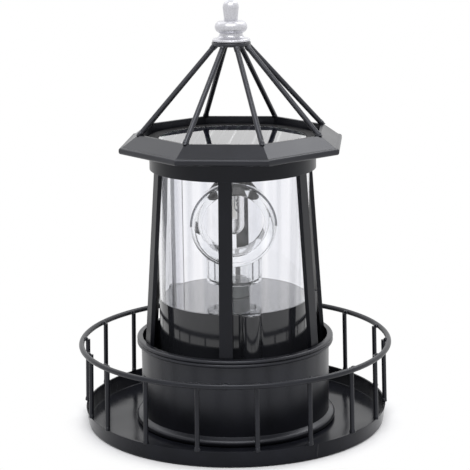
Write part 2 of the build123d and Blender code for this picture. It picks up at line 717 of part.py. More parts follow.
def gear_motor():
    can = ring(MOTOR_RADIUS, 0, PLATE_UNDER - MOTOR_LENGTH, PLATE_UNDER)
    can = chamfer(can.edges().sort_by(Axis.Z)[0], MOTOR_RADIUS / 10)
    can += ring(MOTOR_NOSE_RADIUS, 0, PLATE_UNDER, PLATE_TOP)
    can -= ring(MOTOR_SHAFT_RADIUS + RUNNING_GAP, 0, PLATE_UNDER - MOTOR_SHAFT_GRIP - WELD_GAP, PLATE_TOP)
    screw_hole = ring(SMALL_SCREW_RADIUS + WELD_GAP, 0, PLATE_UNDER - 2 * SMALL_BITE, PLATE_UNDER)
    for side in (-1, 1):
        can -= Pos(0, side * MOTOR_SCREW_PITCH, 0) * screw_hole
    return Pos(GEAR_CENTRES, 0, 0) * can


def motor_screws():
    screw = pan_screw(SMALL_SCREW_RADIUS, DRIVE_PLATE + SMALL_BITE, SMALL_HEAD_RADIUS, SMALL_HEAD_HEIGHT)
    places = [Pos(GEAR_CENTRES, side * MOTOR_SCREW_PITCH, PLATE_TOP) for side in (-1, 1)]
    return Compound(children=[place * screw for place in places])


def drive_plate():
    plate = ring(DRIVE_PLATE_RADIUS, PIVOT_RADIUS + RUNNING_GAP, PLATE_UNDER, PLATE_TOP)
    clear = 3 * DRIVE_PLATE
    nose = Cylinder(MOTOR_NOSE_RADIUS + WELD_GAP, clear)
    hole = Cylinder(SMALL_SCREW_RADIUS + SCREW_GAP, clear)
    plate -= Pos(GEAR_CENTRES, 0, PLATE_UNDER) * nose
    for side in (-1, 1):
        plate -= Pos(GEAR_CENTRES, side * MOTOR_SCREW_PITCH, PLATE_UNDER) * hole
    return plate - around(at_front(PILLAR_CIRCLE, PLATE_UNDER) * hole, PILLAR_ANGLES)


def plate_screws():
    screw = Rot(180, 0, 0) * pan_screw(
        SMALL_SCREW_RADIUS, DRIVE_PLATE + SMALL_BITE, SMALL_HEAD_RADIUS, SMALL_HEAD_HEIGHT
    )
    return around(at_front(PILLAR_CIRCLE, PLATE_UNDER) * screw, PILLAR_ANGLES)


# Turning lens

def turntable():
    pivot_bottom = PLATE_UNDER + SEAT_GAP
    socket_bottom = TURNTABLE_TOP - PEG_LENGTH - GLUE_GAP
    outline = Polyline(
        (0, pivot_bottom),
        (PIVOT_RADIUS, pivot_bottom),
        (PIVOT_RADIUS, GEAR_BOTTOM - SEAT_GAP),
        (GEAR_SEAT_RADIUS, GEAR_BOTTOM - SEAT_GAP),
        (GEAR_SEAT_RADIUS, GEAR_TOP),
        (SPINDLE_RADIUS, GEAR_TOP),
        (SPINDLE_RADIUS, DECK_TOP + SEAT_GAP),
        (TURNTABLE_RADIUS, DECK_TOP + SEAT_GAP),
        (TURNTABLE_RADIUS, TURNTABLE_TOP),
        (PEG_RADIUS + GLUE_GAP, TURNTABLE_TOP),
        (PEG_RADIUS + GLUE_GAP, socket_bottom),
        (0, socket_bottom),
        close=True,
    )
    return turned(outline)


def facing_front(shape):
    """A turned shape laid along the lens axis, with its top towards the front."""
    return Pos(0, 0, LENS_LEVEL) * Rot(90, 0, 0) * shape


def lens_column():
    rear_top = LENS_LEVEL - BARREL_RADIUS - GLUE_GAP
    column = ring(COLUMN_RADIUS, COLUMN_BORE, TURNTABLE_TOP, LENS_LEVEL)
    seat = Polyline(
        (0, BARREL_FRONT),
        (BARREL_RADIUS + GLUE_GAP, BARREL_FRONT),
        (BARREL_RADIUS + GLUE_GAP, BARREL_FRONT - BARREL_EDGE),
        (BARREL_REAR_RADIUS + GLUE_GAP, BARREL_REAR),
        (0, BARREL_REAR),
        close=True,
    )
    column -= facing_front(turned(seat))
    rear = Pos(0, COLUMN_RADIUS - BARREL_REAR, rear_top + BARREL_RADIUS)
    column -= rear * Box(4 * COLUMN_RADIUS, 2 * COLUMN_RADIUS, 2 * BARREL_RADIUS)
    column += ring(COLUMN_RADIUS, 0, TURNTABLE_TOP, TURNTABLE_TOP + COLUMN_FLOOR)
    column += ring(PEG_RADIUS, 0, TURNTABLE_TOP - PEG_LENGTH, TURNTABLE_TOP)
    return Rot(0, 0, LENS_TURN) * column


def lens_barrel():
    outline = Polyline(
        (BARREL_BORE, BARREL_REAR),
        (BARREL_BORE, BARREL_FRONT - BARREL_DISH),
        (BARREL_MOUTH, BARREL_FRONT),
        (BARREL_RADIUS - BARREL_EDGE, BARREL_FRONT),
        (BARREL_RADIUS, BARREL_FRONT - BARREL_EDGE),
        (BARREL_REAR_RADIUS, BARREL_REAR),
        close=True,
    )
    barrel = facing_front(turned(outline))
    barrel -= ring(SWING_RADIUS, 0, SWING_LEVEL, LENS_LEVEL + 2 * BARREL_RADIUS)
    return Rot(0, 0, LENS_TURN) * barrel


# Battery, circuit board and switch

def battery_holder():
    box = Pos(0, 0, HOLDER_HEIGHT / 2) * Box(2 * HOLDER_HALF_LENGTH, 2 * HOLDER_HALF_WIDTH, HOLDER_HEIGHT)
    pocket = Box(HOLDER_LENGTH, 2 * (CELL_RADIUS + SEAT_GAP), HOLDER_HEIGHT)
    box -= Pos(0, 0, HOLDER_HEIGHT / 2 + HOLDER_WALL) * pocket
    return Pos(0, -BATTERY_OFFSET, BASE_TOP) * box


def battery_cell():
    body = Cylinder(CELL_RADIUS, CELL_LENGTH)
    body = fillet(body.edges().filter_by(GeomType.CIRCLE), CELL_RADIUS / 10)
    pip = Pos(0, 0, (CELL_LENGTH + CELL_PIP_LENGTH) / 2) * Cylinder(CELL_PIP_RADIUS, CELL_PIP_LENGTH)
    shift = -CELL_PIP_LENGTH / 2
    return Pos(shift, -BATTERY_OFFSET, BATTERY_LEVEL) * Rot(0, 90, 0) * (body + pip)


def battery_contacts():
    reach = (HOLDER_LENGTH - CONTACT_THICKNESS) / 2
    bottom = BASE_TOP + HOLDER_WALL
    tab = Box(CONTACT_THICKNESS, CONTACT_WIDTH, 2 * CELL_RADIUS)
    places = [Pos(side * reach, -BATTERY_OFFSET, bottom + CELL_RADIUS) for side in (-1, 1)]
    return Compound(children=[place * tab for place in places])


def circuit_board():
    middle = BOARD_UNDER + BOARD_THICKNESS / 2
    return Pos(0, BOARD_OFFSET, middle) * Box(BOARD_LENGTH, BOARD_WIDTH, BOARD_THICKNESS)


def switch_body():
    case = Box(SWITCH_LENGTH, SWITCH_WIDTH, SWITCH_HEIGHT)
    cavity = Box(
        SLIDER_LENGTH + SLIDER_TRAVEL + 2 * SLIDER_GAP, SLIDER_WIDTH + 2 * SLIDER_GAP, SWITCH_HEIGHT
    )
    case -= Pos(0, 0, -SWITCH_HEIGHT / 2) * cavity
    return Pos(SWITCH_PLACE, BOARD_OFFSET, BOARD_UNDER - SWITCH_HEIGHT / 2) * case


def switch_slider():
    top = BOARD_UNDER - SWITCH_HEIGHT / 2 - SLIDER_GAP
    bottom = PAD_TOP - SLIDER_REACH
    knob = Box(SLIDER_LENGTH, SLIDER_WIDTH, top - bottom)
    return Pos(SWITCH_PLACE - SLIDER_TRAVEL / 2, BOARD_OFFSET, (top + bottom) / 2) * knob


PIECES = (
    tray,
    cup,
    railing_hoop,
    railing_balusters,
    lantern_posts,
    collar,
    eave,
    eave_shelf,
    roof_rods,
    roof_hub,
    finial,
    panel_dish,
    panel_board,
    solar_cells,
    panel_cover,
    glazing_tube,
    lamp_holder,
    holder_screws,
    led_capsule,
    led_stem,
    led_die,
    drum_shell,
    drum_base,
    drum_screws,
    drive_plate,
    plate_screws,
    gear_motor,
    motor_screws,
    motor_shaft,
    motor_pinion,
    turntable,
    drive_gear,
    lens_column,
    lens_barrel,
    battery_holder,
    battery_cell,
    battery_contacts,
    circuit_board,
    switch_body,
    switch_slider,
)

os.makedirs("parts", exist_ok=True)
for piece in PIECES:
    export_step(piece(), f"parts/{piece.__name__}.step")
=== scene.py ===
import math

import bmesh
import bpy
from mathutils import Matrix, Vector


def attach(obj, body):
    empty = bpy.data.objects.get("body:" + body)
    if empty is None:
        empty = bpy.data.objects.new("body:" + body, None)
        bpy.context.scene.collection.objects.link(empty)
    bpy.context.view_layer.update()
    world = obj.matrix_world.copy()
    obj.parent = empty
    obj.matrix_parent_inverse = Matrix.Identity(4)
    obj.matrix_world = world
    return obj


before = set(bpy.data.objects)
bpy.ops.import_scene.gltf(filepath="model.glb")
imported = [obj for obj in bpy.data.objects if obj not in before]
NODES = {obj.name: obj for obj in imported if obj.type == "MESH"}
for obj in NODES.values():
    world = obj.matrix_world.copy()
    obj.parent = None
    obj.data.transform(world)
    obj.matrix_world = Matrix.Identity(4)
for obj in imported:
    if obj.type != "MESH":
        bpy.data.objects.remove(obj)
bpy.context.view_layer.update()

# Solar garden lantern: powder coated steel, clear plastic, a glossy plastic drum and a silver finial.
# Lengths are in millimetres where a name says MM and are turned to metres on use.

MM = 0.001

# Camera, found by fitting the circles and the octagon of the lantern to the photograph
IMAGE_PIXELS = 470
FOCAL_PIXELS = 1635.25
SENSOR_MM = 36.0
CAMERA_DISTANCE_MM = 833.81
CAMERA_HEIGHT_MM = 289.45
CAMERA_TURN = 5.5
CAMERA_YAW = 0.046
CAMERA_PITCH = 12.852
CAMERA_ROLL = -0.746

# Sizes of the CAD model that the added pieces follow
TRAY_RADIUS_MM = 78.6
TRAY_FLARE_MM = 1.1
TRAY_HEIGHT_MM = 8.7
TRAY_BEND_MM = 1.2
HOOP_CENTRE_MM = 81.1
HOOP_WIRE_MM = 2.8
HOOP_LEVEL_MM = 42.6
BALUSTER_ANGLES = (13, 33, 53, 71, 92, 111, 134, 152, 172, 192, 212, 232, 250.5, 273, 294, 310, 331, 351.5)
BALUSTER_FOOT_MM = 79.3
BALUSTER_HEAD_MM = 78.4
ROD_COUNT = 8
ROD_FOOT_MM = 49.3
ROD_HEAD_MM = 9.0
EAVE_TOP_MM = 155.0
HUB_LEVEL_MM = 198.3
CELL_PITCH_MM = 12.0

# Light: strengths of the surroundings, and where the floor goes over into white round the lantern
FLOOR_GLOW = 0.02
FRONT_LIGHT = 0.07
BACK_LIGHT = 1.12
TOP_LIGHT = 1.0
# Strength of a painted glow on the lamp's strip and stem, which are not lit
PAINTED_LAMP_GLOW = 0.3
LAMPS_AIM_MM = 120.0
FLOOR_SHADOW_MM = 77.0
FLOOR_WHITE_MM = 94.0

# Lamp wires: a straight run down, then loose bends back up beside it
LEAD_TOP_MM = 128.6
LEAD_TURN_MM = 114.0
LEAD_LOW_MM = 111.5
LEAD_END_MM = 119.0
LEAD_APART_MM = 0.9
LEAD_FRONT_MM = -1.7
LEAD_REACH_MM = 2.35
LEAD_SWING_MM = 0.75
LEAD_RADIUS_MM = 0.24
LEAD_STEPS = 12
LEAD_BENDS = 6
BEND_STEPS = 8
WIRE_SIDES = 10

# Glued lap of the rolled clear tube, on its inside at the left
TUBE_BORE_MM = 38.2
TUBE_FOOT_MM = 67.2
TUBE_TOP_MM = 139.8
LAP_FROM = -50.0
LAP_TO = -35.8
LAP_SHEET_MM = 0.3
LAP_GAP_MM = 0.03
LAP_STEPS = 26

# Lip on the outer edge of the lens ring, over its upper half, tinted grey as painted shade for the dark that
# the ring's upper rim refracts
LENS_TURN = 5.5
LENS_LEVEL_MM = 108.5
LIP_RADIUS_MM = 21.51
LIP_FRONT_MM = 20.11
LIP_SECTION_MM = 0.55
LIP_STEPS = 72

# Weld fillets, as radii and distances along the wire
WELD_SIDES = 20
BALUSTER_WELD_MM = ((0.6, -0.5), (1.2, -0.25), (1.45, 0.2), (1.4, 0.6), (1.3, 1.1), (1.18, 1.8))
ROD_WELD_MM = ((0.9, -0.3), (1.5, 0.2), (1.5, 0.6), (1.42, 1.2), (1.33, 2.2))

# Lump of weld behind the hoop, as its reach outwards, sideways and upwards
HEAD_WELD_MM = (1.3, 1.6, 1.15)
HEAD_WELD_RISE_MM = 0.2

# Butt weld of the hoop
HOOP_WELD_ANGLE = 2.1
HOOP_WELD_SPREAD = 1.9
HOOP_WELD_SWELL_MM = 0.4
HOOP_WELD_SINK_MM = 0.03
HOOP_WELD_STEPS = 8

# Seam across the tray's edge
SEAM_ANGLE = 35.6
SEAM_STRIP_ANGLE = 0.22
SEAM_STRIPS = 3
SEAM_FOOT_MM = 1.3
SEAM_HEIGHT_MM = 7.2
SEAM_CROWN_MM = 0.32
SEAM_SINK_MM = 0.04
SEAM_STEPS = 12


def linear(hex_colour):
    """Linear RGBA from an sRGB hex colour."""
    channels = []
    for start in (1, 3, 5):
        value = int(hex_colour[start:start + 2], 16) / 255
        channels.append(value / 12.92 if value <= 0.04045 else ((value + 0.055) / 1.055) ** 2.4)
    return (*channels, 1.0)


def per_metre(size_mm):
    """Texture scale whose features have a real size in millimetres."""
    return 1000 / size_mm


def add_node(tree, kind, inputs=None, **settings):
    """Adds a shader node, sets its options, and sets or links its inputs."""
    made = tree.nodes.new("ShaderNode" + kind)
    for name, value in settings.items():
        setattr(made, name, value)
    for name, value in (inputs or {}).items():
        socket = made.inputs[name]
        if isinstance(value, bpy.types.NodeSocket):
            tree.links.new(value, socket)
        else:
            socket.default_value = value
    return made


def new_material(name):
    """Empty node material and its tree."""
    material = bpy.data.materials.new(name)
    material.use_nodes = True
    material.node_tree.nodes.clear()
    return material, material.node_tree


def dress(material, *names):
    """Gives CAD nodes a material."""
    for name in names:
        mesh = NODES[name].data
        mesh.materials.clear()
        mesh.materials.append(material)


def pass_lamp_light(tree, surface, tint):
    """Ends a clear material, which lets the lamps' light through instead of casting a full shadow."""
    clear = add_node(tree, "BsdfTransparent", {"Color": linear(tint)})
    path = add_node(tree, "LightPath")
    both = add_node(
        tree,
        "MixShader",
        {"Fac": path.outputs["Is Shadow Ray"], 1: surface.outputs["BSDF"], 2: clear.outputs["BSDF"]},
    )
    add_node(tree, "OutputMaterial", {"Surface": both.outputs["Shader"]})


def seen_rays(tree):
    """One for what the camera sees, also in gloss or through clear plastic, and nought for other light."""
    path = add_node(tree, "LightPath")
    through = add_node(
        tree,
        "Math",
        {0: path.outputs["Is Camera Ray"], 1: path.outputs["Is Transmission Ray"]},
        operation="MAXIMUM",
    )
    seen = add_node(
        tree,
        "Math",
        {0: through.outputs["Value"], 1: path.outputs["Is Glossy Ray"]},
        operation="MAXIMUM",
    )
    return seen.outputs["Value"]


# Materials


def powder_coat_on_steel(name, ripple_mm, smooth, rough, shine, dark="#131418", light="#1a1b21"):
    """Baked polyester powder coat: satin black and faint orange peel, with a painted highlight drawn as
    lighter paint along the edges.

    The ripple is the unevenness of the thin sheet or wire under the paint."""
    material, tree = new_material(name)
    texture = add_node(tree, "TexCoord").outputs["Object"]
    clouds = add_node(tree, "TexNoise", {"Vector": texture, "Scale": per_metre(14), "Detail": 3.0})
    # Real orange peel is about 0.4 mm across, drawn three times as coarse so that it shows
    peel = add_node(tree, "TexNoise", {"Vector": texture, "Scale": per_metre(1.2), "Detail": 2.0})
    sheet = add_node(tree, "TexNoise", {"Vector": texture, "Scale": per_metre(48), "Detail": 1.0})
    tone = add_node(tree, "ValToRGB", {"Fac": clouds.outputs["Fac"]})
    tone.color_ramp.elements[0].position = 0.3
    tone.color_ramp.elements[0].color = linear(dark)
    tone.color_ramp.elements[1].position = 0.75
    tone.color_ramp.elements[1].color = linear(light)
    gloss = add_node(
        tree, "MapRange", {"Value": clouds.outputs["Fac"], "To Min": smooth, "To Max": rough}
    )
    edge = add_node(tree, "Bevel", {"Radius": 0.35 * MM}, samples=4)
    flat = add_node(tree, "NewGeometry").outputs["Normal"]
    facing = add_node(
        tree, "VectorMath", {0: edge.outputs["Normal"], 1: flat}, operation="DOT_PRODUCT"
    )
    # Painted highlight: the paint is drawn lighter along the edges, where the rims catch the light
    painted_edge_highlight = add_node(
        tree,
        "MapRange",
        {"Value": facing.outputs["Value"], "From Min": 0.98, "From Max": 0.75, "To Max": 0.6},
    )
    colour = add_node(
        tree,
        "Mix",
        {"Factor": painted_edge_highlight.outputs["Result"], "A": tone.outputs["Color"], "B": linear("#34363b")},
        data_type="RGBA",
    )
    dents = add_node(
        tree,
        "Bump",
        {
            "Height": sheet.outputs["Fac"],
            "Strength": 1.0,
            "Distance": ripple_mm * MM,
            "Normal": edge.outputs["Normal"],
        },
    )
    bump = add_node(
        tree,
        "Bump",
        {
            "Height": peel.outputs["Fac"],
            "Strength": 0.15,
            "Distance": 0.05 * MM,
            "Normal": dents.outputs["Normal"],
        },
    )
    coat = add_node(
        tree,
        "BsdfPrincipled",
        {
            "Base Color": colour.outputs["Result"],
            "Roughness": gloss.outputs["Result"],
            "IOR": 1.5,
            "Specular IOR Level": shine,
            "Specular Tint": linear("#f0f2fb"),
            "Normal": bump.outputs["Normal"],
        },
    )
    add_node(tree, "OutputMaterial", {"Surface": coat.outputs["BSDF"]})
    return material


def glossy_abs(name, colour, top_gloss, side_gloss):
    """Injection moulded ABS from a polished tool, with faint handling marks and sink. Faces that look up are
    polished more than the sides."""
    material, tree = new_material(name)
    texture = add_node(tree, "TexCoord").outputs["Object"]
    smears = add_node(tree, "TexNoise", {"Vector": texture, "Scale": per_metre(9), "Detail": 4.0})
    sink = add_node(tree, "TexNoise", {"Vector": texture, "Scale": per_metre(22), "Detail": 1.0})
    rough = add_node(
        tree, "MapRange", {"Value": smears.outputs["Fac"], "To Min": 0.05, "To Max": 0.13}
    )
    bump = add_node(
        tree, "Bump", {"Height": sink.outputs["Fac"], "Strength": 0.15, "Distance": 0.2 * MM}
    )
    facing = add_node(tree, "SeparateXYZ", {"Vector": add_node(tree, "NewGeometry").outputs["Normal"]})
    polish = add_node(
        tree,
        "MapRange",
        {
            "Value": facing.outputs["Z"],
            "From Min": 0.4,
            "From Max": 0.9,
            "To Min": side_gloss,
            "To Max": top_gloss,
        },
    )
    plastic = add_node(
        tree,
        "BsdfPrincipled",
        {
            "Base Color": linear(colour),
            "Roughness": rough.outputs["Result"],
            "IOR": 1.54,
            "Coat Weight": polish.outputs["Result"],
            "Coat Roughness": 0.03,
            "Normal": bump.outputs["Normal"],
        },
    )
    add_node(tree, "OutputMaterial", {"Surface": plastic.outputs["BSDF"]})
    return material


def matte_plastic(name, colour, grit_mm=0.8, shine=0.5):
    """Moulded plastic from a spark eroded tool: even fine grain and a broad soft shine."""
    material, tree = new_material(name)
    texture = add_node(tree, "TexCoord").outputs["Object"]
    grit = add_node(tree, "TexNoise", {"Vector": texture, "Scale": per_metre(grit_mm), "Detail": 2.0})
    rough = add_node(tree, "MapRange", {"Value": grit.outputs["Fac"], "To Min": 0.45, "To Max": 0.6})
    bump = add_node(
        tree, "Bump", {"Height": grit.outputs["Fac"], "Strength": 0.2, "Distance": 0.05 * MM}
    )
    plastic = add_node(
        tree,
        "BsdfPrincipled",
        {
            "Base Color": linear(colour),
            "Roughness": rough.outputs["Result"],
            "IOR": 1.5,
            "Specular IOR Level": shine,
            "Normal": bump.outputs["Normal"],
        },
    )
    add_node(tree, "OutputMaterial", {"Surface": plastic.outputs["BSDF"]})
    return material


def clear_plastic(name, ior, tint, draw_lines_mm=0.0, coat_weight=0.0, rounding_mm=0.0, frost=0.0):
    """Clear moulded or drawn plastic or glass. Draw lines run along Z, as the die leaves them on a tube.

    The rounding is that of a moulding's edges, which draws a thin grey outline round them."""
    material, tree = new_material(name)
    inputs = {
        "Base Color": linear(tint),
        "Roughness": frost,
        "IOR": ior,
        "Transmission Weight": 1.0,
        "Coat Weight": coat_weight,
        "Coat Roughness": 0.02,
    }
    if draw_lines_mm:
        texture = add_node(tree, "TexCoord").outputs["Object"]
        drawn = add_node(tree, "Mapping", {"Vector": texture, "Scale": (1, 1, 0.02)})
        lines = add_node(
            tree, "TexNoise", {"Vector": drawn.outputs["Vector"], "Scale": per_metre(5), "Detail": 1.0}
        )
        bump = add_node(
            tree,
            "Bump",
            {"Height": lines.outputs["Fac"], "Strength": 1.0, "Distance": draw_lines_mm * MM},
        )
        inputs["Normal"] = bump.outputs["Normal"]
        streak = add_node(tree, "ValToRGB", {"Fac": lines.outputs["Fac"]})
        streak.color_ramp.elements[0].position = 0.3
        streak.color_ramp.elements[0].color = linear("#eeeff3")
        streak.color_ramp.elements[1].position = 0.6
        streak.color_ramp.elements[1].color = linear(tint)
        inputs["Base Color"] = streak.outputs["Color"]
    if rounding_mm:
        edge = add_node(tree, "Bevel", {"Radius": rounding_mm * MM}, samples=8)
        inputs["Normal"] = edge.outputs["Normal"]
    pass_lamp_light(tree, add_node(tree, "BsdfPrincipled", inputs), "#f4f5f6")
    return material


def glued_lap():
    """Clear sheet glued to clear sheet: streaky grey glue along one edge, a thin line at the cut edge."""
    material, tree = new_material("glued_clear_sheet")
    texture = add_node(tree, "TexCoord").outputs["Object"]
    split = add_node(tree, "SeparateXYZ", {"Vector": texture})
    front = add_node(tree, "Math", {0: split.outputs["Y"], 1: -1.0}, operation="MULTIPLY")
    turn = add_node(
        tree, "Math", {0: split.outputs["X"], 1: front.outputs["Value"]}, operation="ARCTAN2"
    )
    drawn = add_node(tree, "Mapping", {"Vector": texture, "Scale": (1, 1, 0.06)})
    streaks = add_node(
        tree, "TexNoise", {"Vector": drawn.outputs["Vector"], "Scale": per_metre(1.6), "Detail": 2.0}
    )
    across = add_node(
        tree,
        "MapRange",
        {
            "Value": turn.outputs["Value"],
            "From Min": math.radians(LAP_FROM),
            "From Max": math.radians(LAP_TO),
        },
    )
    wobble = add_node(
        tree, "MapRange", {"Value": streaks.outputs["Fac"], "To Min": -0.05, "To Max": 0.05}
    )
    shifted = add_node(
        tree, "Math", {0: across.outputs["Result"], 1: wobble.outputs["Result"]}, operation="ADD"
    )
    tone = add_node(tree, "ValToRGB", {"Fac": shifted.outputs["Value"]})
    glue = tone.color_ramp.elements
    glue[0].position = 0.02
    glue[0].color = linear("#fafafc")
    glue[1].position = 0.985
    glue[1].color = linear("#b4b5b9")
    for position, shade in ((0.09, "#77787d"), (0.34, "#6a6b70"), (0.44, "#e2e2e6"), (0.93, "#eeeef1")):
        glue.new(position).color = linear(shade)
    sheet = add_node(
        tree,
        "BsdfPrincipled",
        {
            "Base Color": tone.outputs["Color"],
            "Roughness": 0.02,
            "IOR": 1.49,
            "Transmission Weight": 1.0,
        },
    )
    pass_lamp_light(tree, sheet, "#e4e4e8")
    return material


def white_ceramic():
    """Fired alumina: white and matte, with a faint painted glow that stands in for the light that the capsule
    gathers on it.
    """
    material, tree = new_material("white_alumina")
    texture = add_node(tree, "TexCoord").outputs["Object"]
    grain = add_node(tree, "TexNoise", {"Vector": texture, "Scale": per_metre(0.7), "Detail": 2.0})
    tone = add_node(tree, "ValToRGB", {"Fac": grain.outputs["Fac"]})
    tone.color_ramp.elements[0].color = linear("#e6e5e3")
    tone.color_ramp.elements[1].color = linear("#f6f6f5")
    ceramic = add_node(
        tree,
        "BsdfPrincipled",
        {
            "Base Color": tone.outputs["Color"],
            "Roughness": 0.5,
            # Painted glow, standing in for the light that the capsule gathers
            "Emission Color": linear("#f4f4f6"),
            "Emission Strength": PAINTED_LAMP_GLOW,
        },
    )
    add_node(tree, "OutputMaterial", {"Surface": ceramic.outputs["BSDF"]})
    return material


def silver_paint():
    """Zinc casting with satin silver paint that follows the small unevenness of the casting."""
    material, tree = new_material("satin_silver_on_zinc")
    texture = add_node(tree, "TexCoord").outputs["Object"]
    cast = add_node(tree, "TexNoise", {"Vector": texture, "Scale": per_metre(2.2), "Detail": 3.0})
    flakes = add_node(tree, "TexNoise", {"Vector": texture, "Scale": per_metre(0.5), "Detail": 1.0})
    tone = add_node(tree, "ValToRGB", {"Fac": flakes.outputs["Fac"]})
    tone.color_ramp.elements[0].position = 0.35
    tone.color_ramp.elements[0].color = linear("#c4c4c9")
    tone.color_ramp.elements[1].position = 0.7
    tone.color_ramp.elements[1].color = linear("#d6d6dc")
    rough = add_node(tree, "MapRange", {"Value": cast.outputs["Fac"], "To Min": 0.28, "To Max": 0.36})
    bump = add_node(
        tree, "Bump", {"Height": cast.outputs["Fac"], "Strength": 0.35, "Distance": 0.12 * MM}
    )
    metal = add_node(
        tree,
        "BsdfPrincipled",
        {
            "Base Color": tone.outputs["Color"],
            "Metallic": 0.6,
            "Roughness": rough.outputs["Result"],
            "Normal": bump.outputs["Normal"],
        },
    )
    add_node(tree, "OutputMaterial", {"Surface": metal.outputs["BSDF"]})
    return material


def bright_metal(name, colour):
    """Plated or drawn small hardware: bright, slightly cloudy metal."""
    material, tree = new_material(name)
    texture = add_node(tree, "TexCoord").outputs["Object"]
    cloud = add_node(tree, "TexNoise", {"Vector": texture, "Scale": per_metre(1.5), "Detail": 2.0})
    rough = add_node(tree, "MapRange", {"Value": cloud.outputs["Fac"], "To Min": 0.25, "To Max": 0.4})
    metal = add_node(
        tree,
        "BsdfPrincipled",
        {"Base Color": linear(colour), "Metallic": 1.0, "Roughness": rough.outputs["Result"]},
    )
    add_node(tree, "OutputMaterial", {"Surface": metal.outputs["BSDF"]})
    return material


def wave_scale(period_mm):
    """Scale of a band texture whose bands repeat at a real distance."""
    return per_metre(period_mm) * 2 * math.pi / 20


def solar_silicon():
    """Dark blue silicon with fine printed silver fingers across each strip and one wide ribbon along it."""
    material, tree = new_material("solar_silicon")
    texture = add_node(tree, "TexCoord").outputs["Object"]
    # Real fingers are 0.1 mm wide, drawn wider so that they show
    fingers = add_node(
        tree, "TexWave", {"Vector": texture, "Scale": wave_scale(2.5)}, bands_direction="Y"
    )
    ribbon = add_node(
        tree, "TexWave", {"Vector": texture, "Scale": wave_scale(CELL_PITCH_MM)}, bands_direction="X"
    )
    crystal = add_node(tree, "TexVoronoi", {"Vector": texture, "Scale": per_metre(6)})
    finger = add_node(
        tree, "MapRange", {"Value": fingers.outputs["Fac"], "From Min": 0.93, "From Max": 0.99, "To Max": 0.6}
    )
    strap = add_node(
        tree, "MapRange", {"Value": ribbon.outputs["Fac"], "From Min": 0.96, "From Max": 0.97}
    )
    silver = add_node(
        tree, "Math", {0: finger.outputs["Result"], 1: strap.outputs["Result"]}, operation="MAXIMUM"
    )
    colour = add_node(
        tree,
        "Mix",
        {"Factor": silver.outputs["Value"], "A": linear("#12162a"), "B": linear("#9a9ea8")},
        data_type="RGBA",
    )
    rough = add_node(
        tree, "MapRange", {"Value": crystal.outputs["Distance"], "To Min": 0.29, "To Max": 0.4}
    )
    cell = add_node(
        tree,
        "BsdfPrincipled",
        {
            "Base Color": colour.outputs["Result"],
            "Metallic": strap.outputs["Result"],
            "Roughness": rough.outputs["Result"],
            "IOR": 1.6,
        },
    )
    add_node(tree, "OutputMaterial", {"Surface": cell.outputs["BSDF"]})
    return material


def led_phosphor():
    """Pale phosphor over the chips, grainy and matte, with a faint painted glow that stands in for the light
    that the capsule gathers on it.
    """
    material, tree = new_material("led_phosphor")
    texture = add_node(tree, "TexCoord").outputs["Object"]
    grain = add_node(tree, "TexNoise", {"Vector": texture, "Scale": per_metre(0.6), "Detail": 2.0})
    tone = add_node(tree, "ValToRGB", {"Fac": grain.outputs["Fac"]})
    tone.color_ramp.elements[0].color = linear("#e2dfd4")
    tone.color_ramp.elements[1].color = linear("#f6f4ec")
    gel = add_node(
        tree,
        "BsdfPrincipled",
        {
            "Base Color": tone.outputs["Color"],
            "Roughness": 0.45,
            # Painted glow, standing in for the light that the capsule gathers
            "Emission Color": linear("#f4f4f0"),
            "Emission Strength": PAINTED_LAMP_GLOW,
        },
    )
    add_node(tree, "OutputMaterial", {"Surface": gel.outputs["BSDF"]})
    return material


WIRE_COAT = powder_coat_on_steel(
    "powder_coat_on_wire", ripple_mm=0.2, smooth=0.27, rough=0.36, shine=0.36
)
SHEET_COAT = powder_coat_on_steel(
    "powder_coat_on_sheet", ripple_mm=0.6, smooth=0.27, rough=0.36, shine=0.46
)
# Painted shade: posts and collar get a darker copy of the coat, for the eave's shade over them
SHADED_POST_COAT = powder_coat_on_steel(
    "powder_coat_on_posts_painted_shade", ripple_mm=0.4, smooth=0.27, rough=0.36, shine=0.25,
    dark="#0e0f12", light="#14151a",
)
TRAY_COAT = powder_coat_on_steel(
    "powder_coat_on_tray", ripple_mm=1.4, smooth=0.1, rough=0.24, shine=0.16
)
# Painted highlight: the rods get a lighter copy of the coat, for the highlights along them
LIT_ROD_COAT = powder_coat_on_steel(
    "powder_coat_on_rods_painted_highlight", ripple_mm=0.2, smooth=0.27, rough=0.36, shine=0.55,
    dark="#1e1f23", light="#26272d",
)
GLOSSY_BLACK = glossy_abs("glossy_black_abs", "#28292d", top_gloss=0.8, side_gloss=0.0)
GLOSSY_GREY = glossy_abs("glossy_grey_abs", "#606565", top_gloss=0.3, side_gloss=0.3)
BLACK_MATTE = matte_plastic("matte_black_abs", "#121214", shine=0.15)
CLEAR_TUBE = clear_plastic("drawn_clear_acrylic", 1.49, "#fdfdff", draw_lines_mm=0.02)
CLEAR_COVER = clear_plastic("poured_clear_epoxy", 1.5, "#eceaf0", coat_weight=0.36)
CLEAR_LENS = clear_plastic("moulded_clear_polystyrene", 1.55, "#fbfcfc", rounding_mm=0.9)
# Grey tint of the lens lip: painted shade for the dark that the ring's upper rim refracts, which shows as a
# dark grey outline
SHADE_LIP_PLASTIC = clear_plastic("grey_polystyrene_painted_shade", 1.55, "#84868c")
LAMP_GLASS = clear_plastic("lightly_frosted_lamp_glass", 1.5, "#ffffff", frost=0.16)
GLUED_LAP = glued_lap()
SILVER = silver_paint()
ZINC = bright_metal("zinc_plated_steel", "#bfc1c4")
LEAD_WIRE = bright_metal("oxidised_nickel_wire", "#6f7176")
SILICON = solar_silicon()
PHOSPHOR = led_phosphor()

